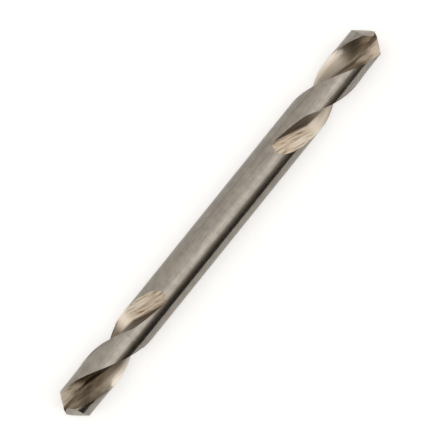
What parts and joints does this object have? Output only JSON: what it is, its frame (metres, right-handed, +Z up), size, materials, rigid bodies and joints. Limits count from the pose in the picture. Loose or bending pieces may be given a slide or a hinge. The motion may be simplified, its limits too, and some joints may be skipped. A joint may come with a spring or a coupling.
{
  "type": "double-ended twist drill bit",
  "caption": "Short double-ended twist drill ground from one steel bar, with a right-hand fluted split point at each end and a plain shank between them.",
  "frame": {"origin": "middle of the drill on its own axis, half way between the two points", "axes": "+X along the drill towards one point, +Z up as it lies, +Y across it"},
  "size_m": [0.065, 0.0052, 0.0052],
  "materials": {
    "ground_steel": "ground and polished, warm grey"
  },
  "bodies": {
    "root": {"drill_bit": "ground_steel"}
  },
  "joints": []
}
